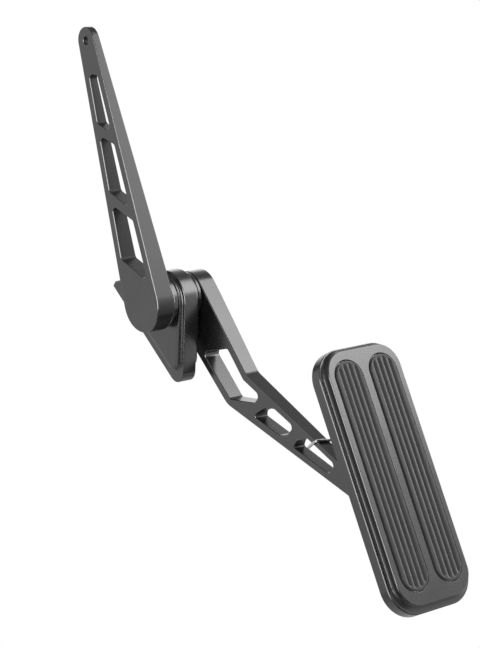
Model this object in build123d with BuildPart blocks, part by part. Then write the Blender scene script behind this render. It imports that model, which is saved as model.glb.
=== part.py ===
# Accelerator pedal: cable lever, wedge bracket, bent arm and rubber-faced pad on one pivot shaft.
# Millimetres. Origin at the middle of the sloped mounting face, Z up, Y forward, X along the shaft.
import os
from math import acos, atan2, cos, degrees, hypot, radians, sin, tan

from build123d import *

os.makedirs("parts", exist_ok=True)

# Fits and broken edges
slip = 0.02
running = 0.03
end_play = 0.15
edge_break = 0.4

# Bracket
body_thick = 8.0
bracket_r = 14.0
face_angle = 37.7
face_half = 31.1
pivot_height = 29.9
pivot_shift = -5.2
nose_height = 3.3
rear_lean = 3.4
tip_r = 6.0
hub_rise = 2.4
hub_r = 12.1
hub_face_gap = 5.8
hub_tip_r = 4.5
hub_nose_r = 3.0
hub_flare = 0.8
hub_bevel_run = 1.6
hub_bevel_drop = 0.5
bolt_r = 2.5
bolt_depth = 12.0
bolt_pitch = 38.1

# Pivot shaft, bushes and the parts on it
shaft_r = 6.0
bush_wall = 1.5
bush_length = 6.0
thrust_left = 1.0
thrust_left_r = 8.6
thrust_right = 1.5
thrust_right_r = 11.9
collar_r = 8.0
lever_gap = 4.5
seat_rise = 0.55
seat_r = 8.5
drive_r = 4.75
drive_flat = 3.5
drive_short = 0.3
screw_r = 2.5
screw_length = 12.0
screw_head_r = 4.75
screw_head = 2.75
screw_socket = 3.0
washer_r = 9.0
washer_thick = 1.6

# Return spring, one turn of flat wire round the collar, in a cover ring
wire_wide = 2.0
wire_deep = 1.7
coil_r = 10.0
coil_start = -60.0
coil_turn = 320.0
leg_depth = 2.0
leg_room = 0.3
travel = 15.0
cover_r = 12.4
cover_wall = 1.0
cover_gap = 0.3
flange_r = 14.2
flange_thick = 0.9

# Cable lever
lever_thick = 9.5
lever_tip_thick = 3.8
lever_length = 130.6
lever_lean = 19.4
boss_r = 14.29
lever_tip_r = 6.7
taper_start = 13.0
cable_hole_r = 2.0
window_rim = 4.4
window_corner = 2.0
windows = [(16.7, 38.0, 45.0, 36.0), (51.5, 38.0, 81.0, 32.0), (87.0, 36.0, 113.5, 18.0)]
bore_depth = 6.5
set_screw_r = 2.5
set_screw_length = 7.5
set_screw_angle = -55.0
set_screw_socket = 2.5
shaft_flat = 0.6

# Arm
arm_thick = 9.1
arm_end_thick = 5.6
arm_hub_r = 12.0
arm_top_run = 53.3
arm_top_angle = 46.9
arm_low_angle = 41.3
arm_low_gap = 16.6
arm_hip = 13.2
arm_low_kink = 55.2
pad_top_angle = 21.9
pad_low_angle = 14.7
kink_top_r = 6.0
kink_low_r = 12.0
hip_r = 8.0
slot_rim = 4.0
slot_low_rim = 3.7
slot_corner = 2.0
slot_web = 21.1
slot_start_angle = -16.0
slot_low_angle = -7.0
slot_end = 14.0
slot_end_angle = -51.0
rear_slots = [(20.6, 29.0, 40.8, 38.0, 3.5, 4.0), (49.4, 31.0, 73.8, 48.0, 2.9, 3.4)]
foot_length = 40.0
foot_width = 14.0
foot_thick = 6.0
foot_drop = 9.0

# Pad and inserts
pad_x = 21.8
pad_back = 139.85
pad_drop = 59.45
pad_lean = 28.83
pad_width = 48.8
pad_length = 124.4
pad_wall = 5.6
pad_corner = 14.2
pad_ledge = 2.7
pad_rise = 3.9
pad_cove = 2.1
insert_width = 15.5
insert_length = 107.9
insert_pitch = 20.6
insert_up = 1.7
insert_proud = 0.7
insert_room = 0.55
recess_depth = 3.2
rib_pitch = 3.14
rib_gap = 1.6
groove_depth = 0.9
groove_inset = 2.2
groove_count = 4
pad_screw_r = 2.0
pad_screw_head_r = 3.75
pad_screw_pitch = 26.0
pad_screw_socket = 2.5

# Places worked out from the sizes
run = radians(face_angle)
pivot_y = pivot_shift * cos(run) - pivot_height * sin(run)
pivot_z = pivot_shift * sin(run) + pivot_height * cos(run)
half = body_thick / 2
hub_left = -half - hub_rise
hub_right = half + hub_rise
lever_right = hub_left - lever_gap
lever_left = lever_right - lever_thick
arm_left = hub_right + thrust_right + end_play + seat_rise
arm_right = arm_left + arm_thick
bush_r = shaft_r + running + bush_wall
pad_thick = pad_wall + pad_rise


def side(x):
    return Plane(origin=(x, pivot_y, pivot_z), x_dir=(0, 1, 0), z_dir=(1, 0, 0))


def polar(length, angle):
    return (length * cos(radians(angle)), length * sin(radians(angle)))


def plus(p, q):
    return (p[0] + q[0], p[1] + q[1])


def shifted(p, angle, gap):
    return plus(p, polar(gap, angle + 90))


def meet(p, a, q, b):
    # crossing of two lines, each given by a point and its angle
    ax, ay = polar(1, a)
    bx, by = polar(1, b)
    t = ((q[0] - p[0]) * by - (q[1] - p[1]) * bx) / (ax * by - ay * bx)
    return (p[0] + t * ax, p[1] + t * ay)


def disc(x0, x1, radius, mode=Mode.ADD):
    with Locations(side(min(x0, x1)).location):
        Cylinder(radius, abs(x1 - x0), align=(Align.CENTER, Align.CENTER, Align.MIN), mode=mode)


def bore(x0, x1, radius):
    disc(x0, x1, radius, Mode.SUBTRACT)


def ring(x0, x1, outer, inner):
    disc(x0, x1, outer)
    bore(x0, x1, inner)


face_plane = Plane(origin=(0, 0, 0), x_dir=(0, cos(run), sin(run)), z_dir=(0, sin(run), -cos(run)))
face_mid = (-pivot_y, -pivot_z)
lean = radians(pad_lean)
pad_out = Vector(0, -cos(lean), sin(lean))
pad_centre = Vector(pad_x, pivot_y - pad_back, pivot_z - pad_drop)
pad_face = Plane(origin=pad_centre, x_dir=(1, 0, 0), z_dir=pad_out)
pad_rear = Plane(origin=pad_centre - pad_out * pad_thick, x_dir=(1, 0, 0), z_dir=pad_out)
recess_floor = Plane(origin=pad_centre - pad_out * recess_depth, x_dir=(1, 0, 0), z_dir=pad_out)
screw_x = -insert_pitch / 2
screw_spots = [(screw_x, -foot_drop - pad_screw_pitch / 2), (screw_x, -foot_drop + pad_screw_pitch / 2)]

# Wedge bracket with a raised hub on both sides
with BuildPart() as bracket:
    rear = polar(bracket_r, 180 + rear_lean)
    tip = meet(face_mid, face_angle, rear, 90 + rear_lean)
    nose = plus(face_mid, polar(face_half, face_angle))
    nose_top = shifted(nose, face_angle, nose_height)
    top_angle = degrees(atan2(nose_top[1], nose_top[0]) + acos(bracket_r / hypot(*nose_top)))
    with BuildSketch(side(-half)):
        with BuildLine():
            Polyline(polar(bracket_r, top_angle), nose_top, nose, tip, rear, close=True)
        make_face()
        Circle(bracket_r)
        fillet(vertices().sort_by_distance(tip)[0], tip_r)
    extrude(amount=body_thick)
    outline = bracket.faces().sort_by(Axis.X)[0].edges() + bracket.faces().sort_by(Axis.X)[-1].edges()
    chamfer(outline, edge_break)
    hub_base = shifted(face_mid, face_angle, hub_face_gap)
    hub_rear = polar(hub_r, 180 + rear_lean)
    hub_tip = meet(hub_base, face_angle, hub_rear, 90 + rear_lean)
    hub_top = polar(hub_r, top_angle)
    hub_nose = meet(hub_top, top_angle - 90, hub_base, face_angle)
    for way in (-1, 1):
        with BuildSketch(side(way * half)):
            with BuildLine():
                Polyline(hub_top, hub_nose, hub_tip, hub_rear, close=True)
            make_face()
            Circle(hub_r)
            fillet(vertices().sort_by_distance(hub_tip)[0], hub_tip_r)
            fillet(vertices().sort_by_distance(hub_nose)[0], hub_nose_r)
        extrude(amount=way * hub_rise)
        step = edges(Select.LAST)
        rim = step.filter_by_position(Axis.X, way * (half + hub_rise) - 0.01, way * (half + hub_rise) + 0.01)
        foot = step.filter_by_position(Axis.X, way * half - 0.01, way * half + 0.01)
        hub_face = bracket.faces().sort_by(Axis.X)[-1 if way > 0 else 0]
        chamfer(rim, hub_bevel_run, hub_bevel_drop, reference=hub_face)
        chamfer(foot, hub_flare)
    bore(hub_left, hub_right, bush_r + slip)
    with BuildSketch(side(hub_left)):
        with PolarLocations(coil_r, 1, coil_start):
            Rectangle(wire_deep + 2 * slip, wire_wide + 2 * slip)
    extrude(amount=leg_depth + leg_room, mode=Mode.SUBTRACT)
    with BuildSketch(face_plane):
        with GridLocations(bolt_pitch, 0, 2, 1):
            Circle(bolt_r)
    extrude(amount=-bolt_depth, mode=Mode.SUBTRACT)
bracket.part.label = "mount_bracket"
export_step(bracket.part, "parts/mount_bracket.step")

# Bushes, thrust washers and the collar that spaces the lever
with BuildPart() as left_bush:
    ring(hub_left, hub_left + bush_length, bush_r, shaft_r + running)
left_bush.part.label = "left_bush"
export_step(left_bush.part, "parts/left_bush.step")

with BuildPart() as right_bush:
    ring(hub_right - bush_length, hub_right, bush_r, shaft_r + running)
right_bush.part.label = "right_bush"
export_step(right_bush.part, "parts/right_bush.step")

with BuildPart() as left_thrust:
    ring(hub_left - thrust_left, hub_left, thrust_left_r, shaft_r + running)
left_thrust.part.label = "left_thrust_washer"
export_step(left_thrust.part, "parts/left_thrust_washer.step")

with BuildPart() as right_thrust:
    ring(hub_right, hub_right + thrust_right, thrust_right_r, shaft_r + running)
right_thrust.part.label = "right_thrust_washer"
export_step(right_thrust.part, "parts/right_thrust_washer.step")

with BuildPart() as collar:
    ring(lever_right, hub_left - thrust_left - end_play, collar_r, shaft_r + slip)
collar.part.label = "spacer_collar"
export_step(collar.part, "parts/spacer_collar.step")

# Pivot shaft: flat for the lever's set screw, two flats that drive the arm, tapped end
shaft_start = lever_right - bore_depth + end_play
shoulder = arm_left - seat_rise
shaft_end = arm_right - drive_short
with BuildPart() as shaft:
    with BuildSketch(side(shaft_start)):
        Circle(shaft_r)
    extrude(amount=shoulder - shaft_start)
    chamfer(shaft.faces().sort_by(Axis.X)[0].edges(), edge_break)
    with BuildSketch(side(shoulder)):
        Circle(drive_r)
        Rectangle(2 * drive_flat, 2 * drive_r, mode=Mode.INTERSECT)
    extrude(amount=shaft_end - shoulder)
    flat_side = Plane(side(shaft_start).location * Location((0, 0, 0), (0, 0, set_screw_angle)))
    with BuildSketch(flat_side):
        with Locations((shaft_r, 0)):
            Rectangle(2 * shaft_flat, 2 * shaft_r)
    extrude(amount=bore_depth - end_play, mode=Mode.SUBTRACT)
    bore(shaft_end, shaft_end - screw_length, screw_r + slip)
shaft.part.label = "pivot_shaft"
export_step(shaft.part, "parts/pivot_shaft.step")

# Cable lever: two circles joined by tangents, thinner to the tip, three slanted windows
lever_run = 90 - lever_lean
lever_dir = (0, cos(radians(lever_run)), sin(radians(lever_run)))
lever_plane = Plane(origin=(lever_left, pivot_y, pivot_z), x_dir=lever_dir, z_dir=(1, 0, 0))
lever_slope = (lever_thick - lever_tip_thick) / (lever_length - taper_start)
side_taper = (boss_r - lever_tip_r) / lever_length
side_tan = side_taper / (1 - side_taper**2) ** 0.5
side_reach = (boss_r - window_rim) / (1 - side_taper**2) ** 0.5
with BuildPart() as lever:
    with BuildSketch(lever_plane):
        Circle(boss_r)
        with Locations((lever_length, 0)):
            Circle(lever_tip_r)
        make_hull()
        with Locations((lever_length, 0)):
            Circle(cable_hole_r, mode=Mode.SUBTRACT)
        for low, low_slant, high, high_slant in windows:
            corners = []
            for centre, slant, way in ((low, low_slant, 1), (low, low_slant, -1),
                                       (high, high_slant, -1), (high, high_slant, 1)):
                k = way * tan(radians(slant))
                along = (centre - k * side_reach) / (1 - k * side_tan)
                corners.append((along, way * (side_reach - along * side_tan)))
            with BuildSketch(mode=Mode.PRIVATE) as window:
                with BuildLine():
                    Polyline(*corners, close=True)
                make_face()
                fillet(window.vertices(), window_corner)
            add(window.sketch, mode=Mode.SUBTRACT)
    extrude(amount=lever_thick)
    taper_at = lever_plane.from_local_coords((taper_start, 0, lever_thick))
    taper_normal = Vector(1, lever_slope * lever_dir[1], lever_slope * lever_dir[2])
    split(bisect_by=Plane(origin=taper_at, z_dir=taper_normal), keep=Keep.BOTTOM)
    chamfer(lever.faces().sort_by(Axis.X)[0].edges(), edge_break)
    bore(lever_right, lever_right - bore_depth, shaft_r + slip)
    with BuildSketch(side(lever_right)):
        slot_mid = coil_start + coil_turn - travel / 2
        slot_arc = travel + 2 * degrees(leg_room / coil_r)
        with BuildLine(mode=Mode.PRIVATE) as track:
            CenterArc((0, 0), coil_r, slot_mid - slot_arc / 2, slot_arc)
        SlotArc(track.edges()[0], hypot(wire_wide, wire_deep) + 2 * leg_room)
    extrude(amount=-leg_depth - leg_room, mode=Mode.SUBTRACT)
    set_mid = side(lever_right - bore_depth / 2).from_local_coords((0, 0, 0))
    set_way = (0, *polar(1, set_screw_angle))
    set_plane = Plane(origin=set_mid, x_dir=(1, 0, 0), z_dir=set_way)
    with BuildSketch(set_plane):
        Circle(set_screw_r + slip)
    extrude(amount=boss_r + 1, mode=Mode.SUBTRACT)
lever.part.label = "throttle_lever"
export_step(lever.part, "parts/throttle_lever.step")

with BuildPart() as set_screw:
    with BuildSketch(set_plane.offset(shaft_r - shaft_flat)):
        Circle(set_screw_r)
    extrude(amount=set_screw_length)
    with BuildSketch(set_plane.offset(shaft_r - shaft_flat + set_screw_length)):
        RegularPolygon(set_screw_socket / 2, 6, major_radius=False)
    extrude(amount=-set_screw_socket, mode=Mode.SUBTRACT)
set_screw.part.label = "lever_set_screw"
export_step(set_screw.part, "parts/lever_set_screw.step")

# Return spring: one turn of wire, one leg in the bracket and one in the lever's arc slot
spring_left = (lever_right + hub_left - wire_wide) / 2
with BuildPart() as spring:
    with BuildSketch(side(spring_left)):
        with BuildLine():
            outer = CenterArc((0, 0), coil_r + wire_deep / 2, coil_start, coil_turn)
            inner = CenterArc((0, 0), coil_r - wire_deep / 2, coil_start, coil_turn)
            Line(outer @ 0, inner @ 0)
            Line(outer @ 1, inner @ 1)
        make_face()
    extrude(amount=wire_wide)
    for angle, end in ((coil_start, hub_left + leg_depth), (coil_start + coil_turn, lever_right - leg_depth)):
        with BuildSketch(side(spring_left)):
            with PolarLocations(coil_r, 1, angle):
                Rectangle(wire_deep, wire_wide)
        extrude(amount=end - spring_left)
spring.part.label = "return_spring"
export_step(spring.part, "parts/return_spring.step")

# Flanged cover ring round the spring, seated on the lever's back
with BuildPart() as cover:
    disc(lever_right, lever_right + flange_thick, flange_r)
    ring(lever_right, hub_left - cover_gap, cover_r, cover_r - cover_wall)
cover.part.label = "spring_cover"
export_step(cover.part, "parts/spring_cover.step")

# Bent arm: hub, two tapering runs, three slots, foot behind the pad
top_start = polar(arm_hub_r, 90 + arm_top_angle)
top_kink = plus(top_start, polar(arm_top_run, 180 + arm_top_angle))
low_line = polar(arm_low_gap, arm_low_angle - 90)
low_kink = plus(low_line, polar(arm_low_kink, 180 + arm_low_angle))
hip = plus(low_line, polar(arm_hip, 180 + arm_low_angle))
hip_angle = degrees(atan2(hip[1], hip[0]) + acos(arm_hub_r / hypot(*hip)))
rear_point = (-pad_back + pad_thick * cos(lean), -pad_drop - pad_thick * sin(lean))
rear_angle = 90 - pad_lean
top_end = meet(top_kink, pad_top_angle, rear_point, rear_angle)
low_end = meet(low_kink, pad_low_angle, rear_point, rear_angle)
arm_dir = Vector(0, *rear_point).normalized()
arm_slope = (arm_thick - arm_end_thick) / (hypot(*rear_point) - arm_hub_r)
kink_mid = ((top_kink[0] + low_kink[0]) / 2, (top_kink[1] + low_kink[1]) / 2)
pad_run = (pad_top_angle + pad_low_angle) / 2
with BuildPart() as arm:
    with BuildSketch(side(arm_left)):
        with BuildLine():
            Polyline(top_start, top_kink, top_end, low_end, low_kink, hip, polar(arm_hub_r, hip_angle), close=True)
        make_face()
        Circle(arm_hub_r)
        fillet(vertices().sort_by_distance(top_kink)[0], kink_top_r)
        fillet(vertices().sort_by_distance(low_kink)[0], kink_low_r)
        fillet(vertices().sort_by_distance(hip)[0], hip_r)
    extrude(amount=arm_thick)
    first_top = shifted(top_kink, arm_top_angle, -slot_rim)
    next_top = shifted(top_kink, pad_top_angle, -slot_rim)
    first_low = shifted(low_kink, arm_low_angle, slot_rim)
    next_low = shifted(low_kink, pad_low_angle, slot_low_rim)
    start_at = polar(arm_hub_r + slot_web, 180 + (arm_top_angle + arm_low_angle) / 2)
    end_at = plus(kink_mid, polar(slot_end, 180 + pad_run))
    slot_kink = meet(first_top, arm_top_angle, next_top, pad_top_angle)
    low_turn = meet(first_low, arm_low_angle, next_low, pad_low_angle)
    corners = [meet(first_low, arm_low_angle, start_at, slot_start_angle),
               meet(first_top, arm_top_angle, start_at, slot_start_angle), slot_kink,
               meet(next_top, pad_top_angle, end_at, slot_end_angle),
               meet(low_turn, slot_low_angle, end_at, slot_end_angle), low_turn]
    with BuildSketch(side(arm_left)):
        with BuildLine():
            Polyline(*corners, close=True)
        make_face()
        offset(amount=-slot_corner, kind=Kind.INTERSECTION, mode=Mode.REPLACE)
        offset(amount=slot_corner, kind=Kind.ARC, mode=Mode.REPLACE)
    extrude(amount=arm_thick, mode=Mode.SUBTRACT)
    for near, near_slant, far, far_slant, top_rim, low_rim in rear_slots:
        top_rail = shifted(top_kink, pad_top_angle, -top_rim)
        low_rail = shifted(low_kink, pad_low_angle, low_rim)
        near_at = plus(kink_mid, polar(near, 180 + pad_run))
        far_at = plus(kink_mid, polar(far, 180 + pad_run))
        with BuildSketch(side(arm_left)):
            with BuildLine():
                Polyline(meet(low_rail, pad_low_angle, near_at, -near_slant),
                         meet(top_rail, pad_top_angle, near_at, -near_slant),
                         meet(top_rail, pad_top_angle, far_at, -far_slant),
                         meet(low_rail, pad_low_angle, far_at, -far_slant), close=True)
            make_face()
            offset(amount=-slot_corner, kind=Kind.INTERSECTION, mode=Mode.REPLACE)
            offset(amount=slot_corner, kind=Kind.ARC, mode=Mode.REPLACE)
        extrude(amount=arm_thick, mode=Mode.SUBTRACT)
    taper_at = side(arm_right).from_local_coords((arm_dir.Y * arm_hub_r, arm_dir.Z * arm_hub_r, 0))
    split(bisect_by=Plane(origin=taper_at, z_dir=Vector(1, arm_slope * arm_dir.Y, arm_slope * arm_dir.Z)),
          keep=Keep.BOTTOM)
    chamfer(arm.faces().sort_by(Axis.X)[0].edges(), edge_break)
    disc(arm_left - seat_rise, arm_left, seat_r)
    with BuildSketch(pad_rear):
        with Locations((screw_x, -foot_drop)):
            SlotOverall(foot_length, foot_width, rotation=90)
    extrude(amount=-foot_thick)
    with BuildSketch(side(arm_left - seat_rise)):
        Circle(drive_r + slip)
        Rectangle(2 * (drive_flat + slip), 3 * drive_r, mode=Mode.INTERSECT)
    extrude(amount=arm_thick + seat_rise, mode=Mode.SUBTRACT)
    with BuildSketch(pad_rear):
        with Locations(*screw_spots):
            Circle(pad_screw_r + slip)
    extrude(amount=-foot_thick, mode=Mode.SUBTRACT)
arm.part.label = "pedal_arm"
export_step(arm.part, "parts/pedal_arm.step")

# Washer and retaining screw of the arm
with BuildPart() as washer:
    ring(arm_right, arm_right + washer_thick, washer_r, screw_r + running)
washer.part.label = "arm_washer"
export_step(washer.part, "parts/arm_washer.step")

head_seat = arm_right + washer_thick
with BuildPart() as arm_screw:
    with BuildSketch(side(head_seat)):
        Circle(screw_head_r)
    extrude(amount=screw_head)
    chamfer(arm_screw.faces().sort_by(Axis.X)[-1].edges(), screw_head * 0.5)
    with BuildSketch(side(head_seat + screw_head)):
        RegularPolygon(screw_socket / 2, 6, major_radius=False)
    extrude(amount=-screw_socket / 2, mode=Mode.SUBTRACT)
    with BuildSketch(side(head_seat)):
        Circle(screw_r)
    extrude(amount=-washer_thick - drive_short - screw_length + leg_room)
arm_screw.part.label = "arm_screw"
export_step(arm_screw.part, "parts/arm_screw.step")

# Pad plate: wall, coved step all round, raised face with two round-ended recesses
with BuildPart() as pad:
    with BuildSketch(pad_rear):
        RectangleRounded(pad_width, pad_length, pad_corner)
    extrude(amount=pad_wall)
    chamfer(pad.faces().sort_by(Axis((0, 0, 0), pad_out))[-1].edges(), edge_break)
    with BuildSketch(pad_rear.offset(pad_wall)):
        RectangleRounded(pad_width - 2 * pad_ledge, pad_length - 2 * pad_ledge, pad_corner - pad_ledge)
    extrude(amount=pad_rise)
    step = edges(Select.LAST)
    level = Axis(pad_rear.origin, pad_out)
    foot = step.filter_by_position(level, pad_wall - 0.01, pad_wall + 0.01)
    rim = step.filter_by_position(level, pad_thick - 0.01, pad_thick + 0.01)
    fillet(foot, pad_cove)
    chamfer(rim, edge_break)
    with BuildSketch(pad_face):
        with Locations((-insert_pitch / 2, insert_up), (insert_pitch / 2, insert_up)):
            SlotOverall(insert_length + 2 * insert_room, insert_width + 2 * insert_room, rotation=90)
    extrude(amount=-recess_depth, mode=Mode.SUBTRACT)
    head_depth = pad_screw_head_r - pad_screw_r
    with BuildSketch(recess_floor):
        with Locations(*screw_spots):
            Circle(pad_screw_r + running)
    extrude(amount=-pad_thick, mode=Mode.SUBTRACT)
    for spot in screw_spots:
        with Locations(recess_floor * Location((*spot, 0))):
            Cone(pad_screw_r + running, pad_screw_head_r + running, head_depth,
                 align=(Align.CENTER, Align.CENTER, Align.MAX), mode=Mode.SUBTRACT)
pad.part.label = "pad_plate"
export_step(pad.part, "parts/pad_plate.step")

# Countersunk screws under the left insert
with BuildPart() as pad_screws:
    for spot in screw_spots:
        with Locations(recess_floor * Location((*spot, 0))):
            Cone(pad_screw_r, pad_screw_head_r, head_depth, align=(Align.CENTER, Align.CENTER, Align.MAX))
            Cylinder(pad_screw_r, pad_thick - recess_depth + foot_thick - leg_room,
                     align=(Align.CENTER, Align.CENTER, Align.MAX))
    with BuildSketch(recess_floor):
        with Locations(*screw_spots):
            RegularPolygon(pad_screw_socket / 2, 6, major_radius=False)
    extrude(amount=-pad_screw_socket / 2, mode=Mode.SUBTRACT)
pad_screws.part.label = "pad_screws"
export_step(pad_screws.part, "parts/pad_screws.step")

# Ribbed rubber inserts, five ribs parted by V grooves
groove_top = pad_face.from_local_coords((0, insert_up, insert_proud))
groove_cut = Plane(origin=groove_top, x_dir=(1, 0, 0), z_dir=pad_face.y_dir)
for name, way in (("left_insert", -1), ("right_insert", 1)):
    with BuildPart() as insert:
        with BuildSketch(recess_floor):
            with Locations((way * insert_pitch / 2, insert_up)):
                SlotOverall(insert_length, insert_width, rotation=90)
        extrude(amount=recess_depth + insert_proud)
        for i in range(groove_count):
            across = (i - (groove_count - 1) / 2) * rib_pitch
            arch = insert_width / 2 - groove_inset
            reach = 2 * (arch**2 - min(abs(across), arch) ** 2) ** 0.5 + insert_length - insert_width
            groove_mid = way * insert_pitch / 2 + across
            with BuildSketch(groove_cut):
                with BuildLine():
                    Polyline((groove_mid - rib_gap / 2, 0), (groove_mid + rib_gap / 2, 0),
                             (groove_mid, groove_depth), close=True)
                make_face()
            extrude(amount=reach / 2, both=True, mode=Mode.SUBTRACT)
    insert.part.label = name
    export_step(insert.part, f"parts/{name}.step")
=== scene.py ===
# Accelerator pedal: black anodised lever, bracket, arm and pad with two ribbed rubber inserts
from math import cos, hypot, pi, radians, sin, sqrt

import bmesh
import bpy
from mathutils import Matrix, Vector


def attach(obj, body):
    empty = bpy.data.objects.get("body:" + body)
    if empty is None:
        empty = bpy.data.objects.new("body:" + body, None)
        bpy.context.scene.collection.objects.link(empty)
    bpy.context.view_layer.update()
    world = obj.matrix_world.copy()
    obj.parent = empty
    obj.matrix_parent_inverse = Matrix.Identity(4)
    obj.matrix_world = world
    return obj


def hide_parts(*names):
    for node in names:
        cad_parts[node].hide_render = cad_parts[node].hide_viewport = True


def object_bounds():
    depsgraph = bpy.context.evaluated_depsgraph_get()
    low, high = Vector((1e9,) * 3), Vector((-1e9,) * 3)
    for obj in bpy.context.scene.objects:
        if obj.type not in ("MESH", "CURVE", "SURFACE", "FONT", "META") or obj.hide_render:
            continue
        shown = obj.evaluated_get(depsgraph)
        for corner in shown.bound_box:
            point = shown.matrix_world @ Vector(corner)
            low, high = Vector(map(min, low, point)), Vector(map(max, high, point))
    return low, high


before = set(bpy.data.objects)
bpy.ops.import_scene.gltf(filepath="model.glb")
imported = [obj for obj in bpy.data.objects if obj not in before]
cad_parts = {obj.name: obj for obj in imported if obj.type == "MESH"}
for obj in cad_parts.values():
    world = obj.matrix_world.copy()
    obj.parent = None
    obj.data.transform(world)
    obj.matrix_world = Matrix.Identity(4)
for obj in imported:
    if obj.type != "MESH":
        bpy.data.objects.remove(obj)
cadLow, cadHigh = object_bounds()
scene = bpy.context.scene
mm = 0.001
print("frame loaded:", len(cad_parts), "nodes")


# one socket of a node tree, with the operators that the finishes use
class Wire:
    def __init__(self, tree, socket):
        self.tree = tree
        self.socket = socket

    def out(self, name):
        return Wire(self.tree, self.socket.node.outputs[name])

    def maths(self, operation, *values):
        return addNode(self.tree, "ShaderNodeMath", {"operation": operation}, dict(enumerate(values)))

    def __add__(self, other):
        return self.maths("ADD", self, other)

    def __radd__(self, other):
        return self.maths("ADD", other, self)

    def __sub__(self, other):
        return self.maths("SUBTRACT", self, other)

    def __rsub__(self, other):
        return self.maths("SUBTRACT", other, self)

    def __mul__(self, other):
        return self.maths("MULTIPLY", self, other)

    def __rmul__(self, other):
        return self.maths("MULTIPLY", other, self)


# a node of any type: settings first, then the values or links of its sockets
def addNode(tree, kind, settings=None, sockets=None):
    node = tree.nodes.new(kind)
    for key, value in (settings or {}).items():
        setattr(node, key, value)
    for key, value in (sockets or {}).items():
        if isinstance(value, Wire):
            tree.links.new(value.socket, node.inputs[key])
        else:
            node.inputs[key].default_value = value
    return Wire(tree, node.outputs[0]) if node.outputs else node


def grey(level):
    return (level, level, level, 1.0)


def newFinish(name):
    material = bpy.data.materials.new(name)
    material.use_nodes = True
    material.node_tree.nodes.clear()
    return material, material.node_tree


def mixColour(tree, share, first, second):
    return addNode(tree, "ShaderNodeMix", {"data_type": "RGBA"}, {0: share, 6: first, 7: second}).out(2)


def noise(tree, place, scale, detail):
    return addNode(tree, "ShaderNodeTexNoise", None, {"Vector": place, "Scale": scale, "Detail": detail})


def closeFinish(tree, shader):
    addNode(tree, "ShaderNodeOutputMaterial", None, {"Surface": shader})


# satin metal: slow blotches, fine grain, rounded edges lighter with wear and a painted highlight, walls
# rougher and darkened with painted shade
def metalFinish(name, look):
    material, tree = newFinish(name)
    place = addNode(tree, "ShaderNodeTexCoord").out("Object")
    drawn = addNode(tree, "ShaderNodeMapping", None, {"Vector": place, "Scale": look["grainStretch"]})
    blotch = noise(tree, place, look["blotchScale"], look["blotchDetail"])
    grain = noise(tree, drawn, look["grainScale"], look["grainDetail"])
    edge = addNode(tree, "ShaderNodeAttribute", {"attribute_name": "edge"}).out("Fac")
    tone = (blotch - 0.5) * look["blotchTone"] + (grain - 0.5) * look["grainTone"] + 0.5
    flat = mixColour(tree, tone, look["dark"], look["light"])
    # rounded edges lightened: part edge wear, part painted highlight
    wornAndHighlit = mixColour(tree, edge * look["edgeWearAndHighlightShare"], flat, look["edgeWearAndHighlight"])
    wall = addNode(tree, "ShaderNodeAttribute", {"attribute_name": "wall"}).out("Fac")
    # walls and recesses darkened with painted shade
    colour = mixColour(tree, wall, wornAndHighlit, look["wallColour"])
    rough = (blotch + grain - 1.0) * look["roughSpread"] + look["rough"] - edge * look["edgePolish"]
    rough = rough + wall * look["wallRough"]
    bump = addNode(tree, "ShaderNodeBump", None,
                   {"Height": grain, "Strength": look["grainBump"], "Distance": look["grainDepth"]})
    metal = {"Base Color": colour, "Metallic": look["metallic"], "Roughness": rough, "Normal": bump}
    closeFinish(tree, addNode(tree, "ShaderNodeBsdfPrincipled", None, metal))
    return material


# edge colour: wear and a painted highlight on rounded edges; wall colour: painted shade in walls and recesses
anodised = {
    "dark": grey(0.072), "light": grey(0.098), "edgeWearAndHighlight": grey(0.16), "edgeWearAndHighlightShare": 0.6,
    "metallic": 0.95, "rough": 0.27, "roughSpread": 0.06, "edgePolish": 0.06,
    "wallColour": grey(0.026), "wallRough": 0.2,
    "blotchScale": 60.0, "blotchDetail": 3.0, "blotchTone": 0.8,
    "grainScale": 2600.0, "grainDetail": 4.0, "grainTone": 0.6,
    "grainStretch": (1.0, 1.0, 1.0), "grainBump": 0.03, "grainDepth": 0.03 * mm,
}
turned = {
    **anodised, "dark": grey(0.42), "light": grey(0.56), "edgeWearAndHighlight": grey(0.66), "metallic": 1.0,
    "rough": 0.27, "grainStretch": (6.0, 0.6, 0.6), "grainScale": 1500.0, "grainBump": 0.2,
}
# the pad's rounded edges get half the edge wear and painted highlight
paleEdges = {**anodised, "edgeWearAndHighlightShare": 0.3}
oxide = {**anodised, "dark": grey(0.05), "light": grey(0.085), "rough": 0.42, "metallic": 0.8}
tempered = {**turned, "dark": grey(0.06), "light": grey(0.10), "edgeWearAndHighlight": grey(0.14), "rough": 0.38}
sintered = {
    **anodised, "dark": (0.40, 0.26, 0.11, 1.0), "light": (0.55, 0.38, 0.18, 1.0),
    "edgeWearAndHighlight": (0.62, 0.45, 0.22, 1.0), "metallic": 1.0, "rough": 0.45,
}


# moulded rubber: matte skin with fine pores, a little dust
def rubberFinish(name, look):
    material, tree = newFinish(name)
    place = addNode(tree, "ShaderNodeTexCoord").out("Object")
    dust = noise(tree, place, look["dustScale"], look["dustDetail"])
    pores = noise(tree, place, look["poreScale"], look["poreDetail"])
    tone = (dust - 0.5) * look["dustTone"] + (pores - 0.5) * look["poreTone"] + 0.5
    colour = mixColour(tree, tone, look["dark"], look["light"])
    rough = (dust - 0.5) * look["roughSpread"] + look["rough"]
    bump = addNode(tree, "ShaderNodeBump", None,
                   {"Height": pores, "Strength": look["poreBump"], "Distance": look["poreDepth"]})
    rubber = {"Base Color": colour, "Roughness": rough, "Specular IOR Level": look["gloss"],
              "Sheen Weight": look["sheen"], "Sheen Roughness": look["sheenRough"], "Normal": bump}
    closeFinish(tree, addNode(tree, "ShaderNodeBsdfPrincipled", None, rubber))
    return material


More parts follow.
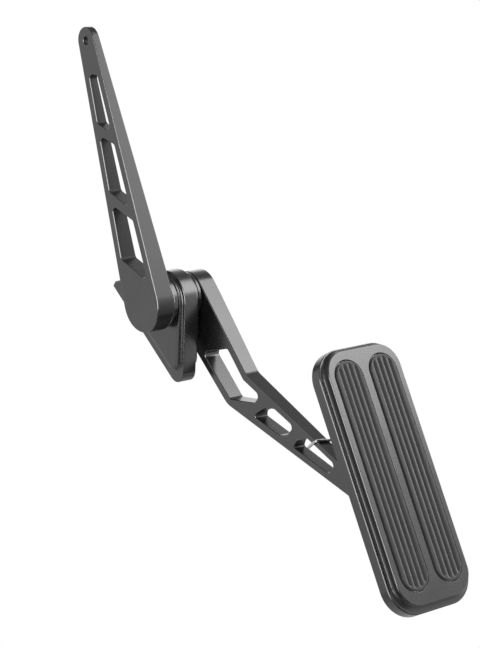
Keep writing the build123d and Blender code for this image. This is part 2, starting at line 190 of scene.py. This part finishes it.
ribbedRubber = {
    "dark": grey(0.026), "light": grey(0.040), "rough": 0.4, "gloss": 0.25, "sheen": 1.0, "sheenRough": 0.3,
    "roughSpread": 0.2, "dustScale": 90.0, "dustDetail": 5.0, "dustTone": 1.0,
    "poreScale": 3200.0, "poreDetail": 3.0, "poreTone": 0.8, "poreBump": 0.25, "poreDepth": 0.03 * mm,
}

blackAnodised = metalFinish("blackAnodised", anodised)
padAnodised = metalFinish("padAnodised", paleEdges)
turnedSteel = metalFinish("turnedSteel", turned)
blackOxide = metalFinish("blackOxide", oxide)
springSteel = metalFinish("springSteel", tempered)
sinteredBronze = metalFinish("sinteredBronze", sintered)
insertRubber = rubberFinish("insertRubber", ribbedRubber)
print("finishes made:", len(bpy.data.materials))


# a finished piece from its working mesh, which stands for a CAD node if one is named
def showPiece(name, work, node, body, finish):
    mesh = bpy.data.meshes.new(name)
    work.to_mesh(mesh)
    work.free()
    mesh.materials.append(finish)
    piece = bpy.data.objects.new(name, mesh)
    scene.collection.objects.link(piece)
    even = piece.modifiers.new("evenNormals", "WEIGHTED_NORMAL")
    even.keep_sharp = True
    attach(piece, body)
    if node:
        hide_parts(node)
    print("piece made:", name, len(mesh.polygons), "faces")


# smooth faces, with hard edges kept where they turn by more than the crease angle
def shadeSmooth(work, crease):
    for face in work.faces:
        face.smooth = True
    for e in work.edges:
        e.smooth = not e.is_manifold or e.calc_face_angle() < radians(crease)


# a CAD node's mesh, reshaped where asked, with its edges rounded and face masks on the rounded strips (edge
# wear and painted highlight) and on the walls that get painted shade
def softCopy(name, node, body, finish, soft, wallShare=None, reshape=None):
    work = bmesh.new()
    work.from_mesh(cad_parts[node].data)
    bmesh.ops.remove_doubles(work, verts=work.verts, dist=soft["weld"])
    bmesh.ops.dissolve_limit(work, angle_limit=radians(soft["flat"]), verts=work.verts, edges=work.edges)
    if reshape:
        for vert in work.verts:
            reshape(vert)
        work.normal_update()
    mask = work.faces.layers.float.new("edge")
    walls = work.faces.layers.float.new("wall")
    # each wall face takes its share of painted shade
    if wallShare:
        for face in work.faces:
            face[walls] = wallShare(face)
    sharp = {e for e in work.edges if e.is_manifold and e.calc_face_angle() > radians(soft["sharp"])}
    # narrow faces between sharp edges take the edge wear and painted highlight mask
    for face in work.faces:
        lines = [e.calc_length() for e in face.edges if e in sharp]
        if len(lines) > 1 and face.calc_area() < soft["narrow"] * sum(lines) / 2:
            face[mask] = 1.0
    rounding = {"offset_type": "OFFSET", "segments": soft["steps"], "profile": 0.5, "affect": "EDGES",
                "clamp_overlap": False, "material": -1}
    hollow = [e for e in sharp if not e.is_convex]
    bmesh.ops.bevel(work, geom=hollow, offset=soft["hollowRound"], **rounding)
    blunt = (soft["sharp"], soft["square"], soft["round"])
    square = (soft["square"], soft["folded"], soft["squareRound"])
    for above, below, offset in (blunt, square):
        sharp = [e for e in work.edges if e.is_manifold and e.is_convex
                 and radians(above) < e.calc_face_angle() <= radians(below)]
        made = bmesh.ops.bevel(work, geom=sharp, offset=offset, **rounding)
        # the rounded strips take the edge wear and painted highlight mask
        for face in made["faces"]:
            face[mask] = 1.0
    shadeSmooth(work, soft["crease"])
    showPiece(name, work, node, body, finish)


# milled from solid: angles in degrees at which an edge counts as sharp, square or folded, and its rounds
billet = {
    "weld": 0.002 * mm, "flat": 0.6, "sharp": 25.0, "square": 70.0, "folded": 180.0, "narrow": 0.9 * mm,
    "round": 0.12 * mm, "squareRound": 0.25 * mm, "hollowRound": 0.3 * mm, "steps": 2, "crease": 40.0,
}
shaftSpots = [v.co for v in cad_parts["pivot_shaft"].data.vertices]
pivot = sum(shaftSpots, Vector()) / len(shaftSpots)

# the lever's profile and windows are milled, rougher than its ground faces, and darkened with painted shade
leverWalls = {
    "lean": radians(19.4), "length": 130.6 * mm, "bossRadius": 14.29 * mm, "tipRadius": 6.7 * mm,
    "inside": 2.5 * mm, "flatness": 0.3, "profile": 0.62, "window": 1.0, "sill": 0.0, "upright": 0.5,
}


def leverWallShade(face):
    if abs(face.normal.x) > leverWalls["flatness"]:
        return 0.0
    spot = face.calc_center_median() - pivot
    along = spot.y * sin(leverWalls["lean"]) + spot.z * cos(leverWalls["lean"])
    across = spot.y * cos(leverWalls["lean"]) - spot.z * sin(leverWalls["lean"])
    share = along / leverWalls["length"]
    halfWide = leverWalls["bossRadius"] + (leverWalls["tipRadius"] - leverWalls["bossRadius"]) * share
    if abs(across) > halfWide - leverWalls["inside"]:
        return leverWalls["profile"]
    rise = face.normal.y * sin(leverWalls["lean"]) + face.normal.z * cos(leverWalls["lean"])
    return leverWalls["window"] if rise < leverWalls["upright"] else leverWalls["sill"]


# the steep cove below the pad's raised face is milled too: rougher, and darkened with painted shade
padWalls = {
    "lean": radians(28.83), "top": 0.1 * mm, "deep": 4.0 * mm, "steep": 0.7, "under": -0.5, "cove": 0.7,
}
padUp = Vector((0.0, sin(padWalls["lean"]), cos(padWalls["lean"])))
padOut = Vector((0.0, -cos(padWalls["lean"]), sin(padWalls["lean"])))
padSpots = [v.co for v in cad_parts["pad_plate"].data.vertices]
padTop = max(spot.dot(padOut) for spot in padSpots)
padSoft = {**billet, "squareRound": 0.15 * mm}
padSpan = [(min(spot.dot(axis) for spot in padSpots), max(spot.dot(axis) for spot in padSpots))
           for axis in (Vector((1.0, 0.0, 0.0)), padUp)]

# the ledge falls away outwards at the pad's ends, where its inner edge is lifted, and the raised face
# sits a little towards the pad's upper end
padRim = {
    "corner": 14.2 * mm, "rise": 3.9 * mm, "ledge": 2.7 * mm, "reach": 5.0 * mm, "lift": 1.5 * mm,
    "slack": 0.02 * mm, "ends": 9.0 * mm, "shift": 0.9 * mm,
}


def liftLedge(vert):
    depth = padTop - vert.co.dot(padOut)
    beyond = []
    for (low, high), place in zip(padSpan, (vert.co.x, vert.co.dot(padUp))):
        beyond.append(abs(place - (low + high) / 2) - (high - low) / 2 + padRim["corner"])
    edge = hypot(max(beyond[0], 0.0), max(beyond[1], 0.0)) + min(max(beyond), 0.0) - padRim["corner"]
    if depth < padRim["rise"] + padRim["slack"] and -edge < padRim["reach"]:
        inner = min(max(-edge / padRim["ledge"], 0.0), 1.0)
        atEnd = min(max(beyond[1] / padRim["ends"], 0.0), 1.0)
        vert.co += padOut * (depth * inner * atEnd * padRim["lift"] / padRim["rise"])
        vert.co += padUp * (inner * padRim["shift"])


def padCoveShade(face):
    depth = padTop - face.calc_center_median().dot(padOut)
    level = padWalls["top"] < depth < padWalls["deep"]
    steep = face.normal.dot(padOut) < padWalls["steep"] and face.normal.dot(padUp) > padWalls["under"]
    return padWalls["cove"] if level and steep else 0.0


# the arm's lower slots end in level facets: the rounds of their corners are drawn out along y or z
# between a first and a last place, with a move in y and z at each, all in millimetres
slotRounds = (
    {"y": (-96.5, -93.4), "z": (-36.2, -34.3), "axis": "y", "places": (-93.9, -96.0),
     "moves": ((1.39, 0.44), (-3.8, 1.65))},
    {"y": (-88.5, -85.5), "z": (-22.6, -21.2), "axis": "y", "places": (-86.0, -88.0),
     "moves": ((6.15, -2.38), (-1.32, -0.55))},
    {"y": (-78.3, -75.5), "z": (-31.6, -29.0), "axis": "z", "places": (-31.2, -29.2),
     "moves": ((1.46, 0.43), (1.17, -0.55))},
    {"y": (-78.3, -75.5), "z": (-29.0, -26.3), "axis": "z", "places": (-29.2, -26.8),
     "moves": ((1.17, -0.55), (1.24, -0.1))},
    {"y": (-107.1, -104.4), "z": (-39.8, -37.25), "axis": "z", "places": (-39.4, -37.4),
     "moves": ((1.46, 0.43), (1.5, -0.55))},
    {"y": (-107.1, -104.4), "z": (-37.25, -34.5), "axis": "z", "places": (-37.4, -35.0),
     "moves": ((1.5, -0.55), (0.37, 1.33))},
)


def drawSlotEnds(vert):
    spot = vert.co / mm
    for corner in slotRounds:
        (backY, frontY), (lowZ, highZ) = corner["y"], corner["z"]
        if backY < spot.y < frontY and lowZ < spot.z < highZ:
            first, last = corner["places"]
            place = spot.y if corner["axis"] == "y" else spot.z
            share = min(max((place - first) / (last - first), 0.0), 1.0)
            (firstY, firstZ), (lastY, lastZ) = corner["moves"]
            moveY = firstY + (lastY - firstY) * share
            moveZ = firstZ + (lastZ - firstZ) * share
            vert.co += Vector((0.0, moveY, moveZ)) * mm
            return


# the end walls of the lower slots are milled, rougher and darkened with painted shade: they lie under the
# arm's top face and not on its underside
slotWalls = {
    "start": -75.0 * mm, "top": Vector((0.0, -119.36, -31.06)) * mm, "up": Vector((0.0, -0.373, 0.928)),
    "rim": 2.0 * mm, "flatness": 0.3, "under": Vector((0.0, 0.26, -0.966)), "same": 0.95,
    "level": 0.9, "wall": 0.5,
}


def slotEndShade(face):
    spot = face.calc_center_median()
    deep = (slotWalls["top"] - spot).dot(slotWalls["up"]) > slotWalls["rim"]
    across = abs(face.normal.x) < slotWalls["flatness"]
    inside = face.normal.dot(slotWalls["under"]) < slotWalls["same"]
    ending = face.normal.z < slotWalls["level"] and spot.y < slotWalls["start"]
    return slotWalls["wall"] if deep and across and inside and ending else 0.0


softCopy("bracketBody", "mount_bracket", "bracket", blackAnodised, billet)
softCopy("cableLever", "throttle_lever", "pedal", blackAnodised, billet, leverWallShade)
softCopy("bentArm", "pedal_arm", "pedal", blackAnodised, billet, slotEndShade, drawSlotEnds)
softCopy("padPlate", "pad_plate", "pedal", padAnodised, padSoft, padCoveShade, liftLedge)
softCopy("springCover", "spring_cover", "pedal", blackAnodised, billet)
softCopy("armScrew", "arm_screw", "pedal", blackOxide, billet)
softCopy("thrustWasher", "right_thrust_washer", "bracket", blackAnodised, billet)

# rubber inserts: five round ribs side by side, parted by sharp valleys that run out before the ends
reeded = {
    "ribs": 5, "facets": 10, "rows": 160, "valley": 0.8 * mm, "flank": 0.76,
    "rim": 0.6 * mm, "runOutStart": 0.9 * mm, "runOut": 1.8 * mm, "crease": 40.0,
}


def ribbedInsert(name, node):
    spots = [v.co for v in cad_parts[node].data.vertices]
    axes = (Vector((1.0, 0.0, 0.0)), padUp, padOut)
    low = [min(c.dot(axis) for c in spots) for axis in axes]
    high = [max(c.dot(axis) for c in spots) for axis in axes]
    halfWide = (high[0] - low[0]) / 2
    straight = (high[1] - low[1]) / 2 - halfWide
    steep = 1 - sqrt(1 - reeded["flank"] ** 2)
    work = bmesh.new()
    columns = reeded["ribs"] * reeded["facets"]
    bmesh.ops.create_grid(work, x_segments=columns, y_segments=reeded["rows"], size=1.0)
    for vert in work.verts:
        column = vert.co.x
        across = column * halfWide
        reach = straight + sqrt(max(halfWide**2 - across**2, 0.0))
        along = sin(radians(90.0 * vert.co.y)) * reach
        beyond = max(abs(along) - straight, 0.0)
        inside = halfWide - hypot(across, beyond)
        step = ((column + 1) / 2 * reeded["ribs"]) % 1.0 * 2 - 1
        outer = 1 - abs(column) < 1 / reeded["ribs"]
        valley = 0.0 if outer else reeded["valley"] * (1 - sqrt(1 - (reeded["flank"] * step) ** 2)) / steep
        fade = min(max((reach - abs(along) - reeded["runOutStart"]) / reeded["runOut"], 0.0), 1.0)
        short = max(reeded["rim"] - inside, 0.0)
        rim = reeded["rim"] - sqrt(max(reeded["rim"] ** 2 - short**2, 0.0))
        vert.co = (across, along, -max(valley * fade * fade * (3 - 2 * fade), rim))
    border = [e for e in work.edges if e.is_boundary]
    skirt = bmesh.ops.extrude_edge_only(work, edges=border)["geom"]
    for vert in skirt:
        if isinstance(vert, bmesh.types.BMVert):
            vert.co.z = low[2] - high[2]
    foot = [e for e in skirt if isinstance(e, bmesh.types.BMEdge) and e.is_boundary]
    bmesh.ops.edgeloop_fill(work, edges=foot)
    bmesh.ops.recalc_face_normals(work, faces=work.faces)
    middle = axes[0] * (low[0] + high[0]) / 2 + padUp * (low[1] + high[1]) / 2 + padOut * high[2]
    turn = Matrix((axes[0], padUp, padOut)).transposed().to_4x4()
    bmesh.ops.transform(work, matrix=Matrix.Translation(middle) @ turn, verts=work.verts)
    shadeSmooth(work, reeded["crease"])
    showPiece(name, work, node, "pedal", insertRubber)


ribbedInsert("ribbedInsertLeft", "left_insert")
ribbedInsert("ribbedInsertRight", "right_insert")

# bright spring wire: hooked over the arm into its lowest slot, its other end bears on the pad's back,
# with its corners in millimetres
padWire = {
    "radius": 0.7 * mm, "sides": 16, "bend": 1.6 * mm, "bendSteps": 6, "crease": 40.0,
    "corners": ((7.9, -115.3, -35.2), (7.9, -120.4, -30.66),
                (19.2, -123.1, -31.75), (19.2, -154.4, -44.35)),
}


def springWire(name):
    corners = [Vector(spot) * mm for spot in padWire["corners"]]
    path = corners[:1]
    for before, corner, after in zip(corners, corners[1:], corners[2:]):
        start = corner + (before - corner).normalized() * padWire["bend"]
        stop = corner + (after - corner).normalized() * padWire["bend"]
        for step in range(padWire["bendSteps"] + 1):
            share = step / padWire["bendSteps"]
            path.append(start * (1 - share)**2 + corner * 2 * share * (1 - share) + stop * share**2)
    path.append(corners[-1])
    heading = Vector((0.0, 0.0, 1.0))
    place = Vector()
    work = bmesh.new()
    bmesh.ops.create_circle(work, segments=padWire["sides"], radius=padWire["radius"])
    ring = list(work.verts)
    loop = list(work.edges)
    for index, spot in enumerate(path):
        ahead = (path[min(index + 1, len(path) - 1)] - path[max(index - 1, 0)]).normalized()
        if index:
            made = bmesh.ops.extrude_edge_only(work, edges=loop)["geom"]
            ring = [part for part in made if isinstance(part, bmesh.types.BMVert)]
            loop = [part for part in made if isinstance(part, bmesh.types.BMEdge) and part.is_boundary]
        turn = heading.rotation_difference(ahead).to_matrix().to_4x4()
        carry = Matrix.Translation(spot) @ turn @ Matrix.Translation(-place)
        bmesh.ops.transform(work, matrix=carry, verts=ring)
        heading = ahead
        place = spot
    bmesh.ops.holes_fill(work, edges=[e for e in work.edges if e.is_boundary], sides=padWire["sides"])
    bmesh.ops.recalc_face_normals(work, faces=work.faces)
    shadeSmooth(work, padWire["crease"])
    showPiece(name, work, None, "pedal", turnedSteel)


springWire("padSpringWire")

# hidden fittings keep their CAD mesh
fittings = {
    "left_bush": sinteredBronze, "right_bush": sinteredBronze, "left_thrust_washer": blackOxide,
    "spacer_collar": blackAnodised, "pivot_shaft": turnedSteel, "return_spring": springSteel,
    "arm_washer": blackOxide, "lever_set_screw": blackOxide, "pad_screws": blackOxide,
}
for node, finish in fittings.items():
    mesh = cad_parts[node].data
    mesh.materials.clear()
    mesh.materials.append(finish)
print("fittings dressed")

# camera at the photograph's angle
shot = {
    "place": (-0.5679, -0.7906, 0.2374), "aim": (0.6039, 0.7619, -0.2343), "lens": 111.1, "sensor": 36.0,
    "clipNear": 0.01, "clipFar": 50.0,
}
camera = bpy.data.objects.new("camera", bpy.data.cameras.new("camera"))
scene.collection.objects.link(camera)
camera.location = shot["place"]
camera.rotation_mode = "QUATERNION"
camera.rotation_quaternion = Vector(shot["aim"]).to_track_quat("-Z", "Y")
camera.data.lens = shot["lens"]
camera.data.sensor_width = shot["sensor"]
camera.data.clip_start = shot["clipNear"]
camera.data.clip_end = shot["clipFar"]
scene.camera = camera

# soft boxes: way from the object's middle, how far, size, brightness
studioMiddle = Vector((0.0, -0.07, 0.02))
studio = {
    "key": {"way": (0.596, -0.477, 0.652), "far": 0.68, "wide": 0.53, "high": 0.46, "level": 4.8},
    "rim": {"way": (0.60, 0.76, 0.24), "far": 0.9, "wide": 0.5, "high": 0.35, "level": 1.1},
    "fill": {"way": (-0.83, -0.50, 0.14), "far": 0.96, "wide": 0.36, "high": 0.80, "level": 6.0},
    "side": {"way": (0.95, -0.24, 0.13), "far": 0.80, "wide": 0.52, "high": 0.30, "level": 6.0},
}
for name, box in studio.items():
    lamp = bpy.data.lights.new(name, "AREA")
    lamp.shape = "RECTANGLE"
    lamp.size = box["wide"]
    lamp.size_y = box["high"]
    lamp.energy = box["level"] * pi * box["wide"] * box["high"]
    holder = bpy.data.objects.new(name, lamp)
    scene.collection.objects.link(holder)
    way = Vector(box["way"]).normalized()
    holder.location = studioMiddle + way * box["far"]
    holder.rotation_mode = "QUATERNION"
    holder.rotation_quaternion = way.to_track_quat("Z", "Y")
    holder.visible_camera = False
print("camera and soft boxes set")


# rays that look straight at the background, or through a mirror or glass
def seenRays(tree):
    path = addNode(tree, "ShaderNodeLightPath")
    seen = path.out("Is Camera Ray") + path.out("Is Glossy Ray") + path.out("Is Transmission Ray")
    return seen.maths("MINIMUM", seen, 1.0)


# how far a direction points to the unlit side of the room, behind the camera
def darkShare(tree, direction):
    facing = addNode(tree, "ShaderNodeVectorMath", {"operation": "DOT_PRODUCT"},
                     {0: direction, 1: room["darkSide"]})
    return addNode(tree, "ShaderNodeMapRange", {"interpolation_type": "SMOOTHSTEP"},
                   {"Value": facing.out("Value"), "From Min": room["darkEdge"], "From Max": room["darkCore"]})


# white room: plain level for soft light, white walls where it is seen, a dim ceiling in reflections
room = {
    "ambient": 0.45, "white": 1.0, "dim": 0.38, "wallTop": 0.25, "ceiling": 0.8,
    "darkSide": (-0.62, -0.78, 0.0), "darkEdge": 0.55, "darkCore": 0.85, "dark": 0.24,
}
world = bpy.data.worlds.new("whiteRoom")
scene.world = world
world.use_nodes = True
world.node_tree.nodes.clear()
tree = world.node_tree
path = addNode(tree, "ShaderNodeLightPath")
gaze = addNode(tree, "ShaderNodeTexCoord").out("Generated")
height = addNode(tree, "ShaderNodeSeparateXYZ", None, {0: gaze}).out("Z")
upper = addNode(tree, "ShaderNodeMapRange", {"interpolation_type": "SMOOTHSTEP"},
                {"Value": height, "From Min": room["wallTop"], "From Max": room["ceiling"],
                 "To Min": room["white"] - room["ambient"], "To Max": room["dim"] - room["ambient"]})
behind = darkShare(tree, gaze)
mirrored = (upper + room["ambient"]) * (1.0 - behind) + behind * room["dark"] - room["ambient"]
straight = path.out("Is Camera Ray") + path.out("Is Transmission Ray")
strength = straight * (room["white"] - room["ambient"]) + path.out("Is Glossy Ray") * mirrored
strength = strength + room["ambient"]
sky = addNode(tree, "ShaderNodeBackground", None, {"Color": grey(1.0), "Strength": strength})
addNode(tree, "ShaderNodeOutputWorld", None, {"Surface": sky})

# pale floor well below the hung pedal, which runs out into white, and is darker near by in reflections
floor = {
    "drop": 0.30, "radius": 6.0, "sides": 96, "pale": grey(0.82), "near": 0.15, "far": 0.5,
    "mirrorNear": 0.3, "mirrorFar": 0.85, "mirrorDark": 0.35,
}
work = bmesh.new()
bmesh.ops.create_circle(work, cap_ends=True, segments=floor["sides"], radius=floor["radius"])
bmesh.ops.translate(work, verts=work.verts, vec=(0.0, 0.0, cadLow.z - floor["drop"]))
mesh = bpy.data.meshes.new("paleFloor")
work.to_mesh(mesh)
work.free()
ground = bpy.data.objects.new("paleFloor", mesh)
scene.collection.objects.link(ground)
material, tree = newFinish("paleFloor")
place = addNode(tree, "ShaderNodeTexCoord").out("Object")
flatPlace = addNode(tree, "ShaderNodeMapping", None, {"Vector": place, "Scale": (1.0, 1.0, 0.0)})
reach = addNode(tree, "ShaderNodeVectorMath", {"operation": "LENGTH"}, {0: flatPlace}).out("Value")
away = addNode(tree, "ShaderNodeMapRange", {"interpolation_type": "SMOOTHSTEP"},
               {"Value": reach, "From Min": floor["near"], "From Max": floor["far"]})
mirrorAway = addNode(tree, "ShaderNodeMapRange", {"interpolation_type": "SMOOTHSTEP"},
                     {"Value": reach, "From Min": floor["mirrorNear"], "From Max": floor["mirrorFar"],
                      "To Min": floor["mirrorDark"], "To Max": 1.0})
heading = addNode(tree, "ShaderNodeVectorMath", {"operation": "NORMALIZE"}, {0: flatPlace})
behind = darkShare(tree, heading)
mirrored = mirrorAway * (1.0 - behind) + behind * room["dark"]
glossy = addNode(tree, "ShaderNodeLightPath").out("Is Glossy Ray")
level = glossy * (mirrored - 1.0) + 1.0
matte = addNode(tree, "ShaderNodeBsdfDiffuse", None, {"Color": floor["pale"]})
white = addNode(tree, "ShaderNodeEmission", None, {"Color": grey(1.0), "Strength": level})
closeFinish(tree, addNode(tree, "ShaderNodeMixShader", None, {0: away * seenRays(tree), 1: matte, 2: white}))
mesh.materials.append(material)

scene.view_settings.view_transform = "Standard"
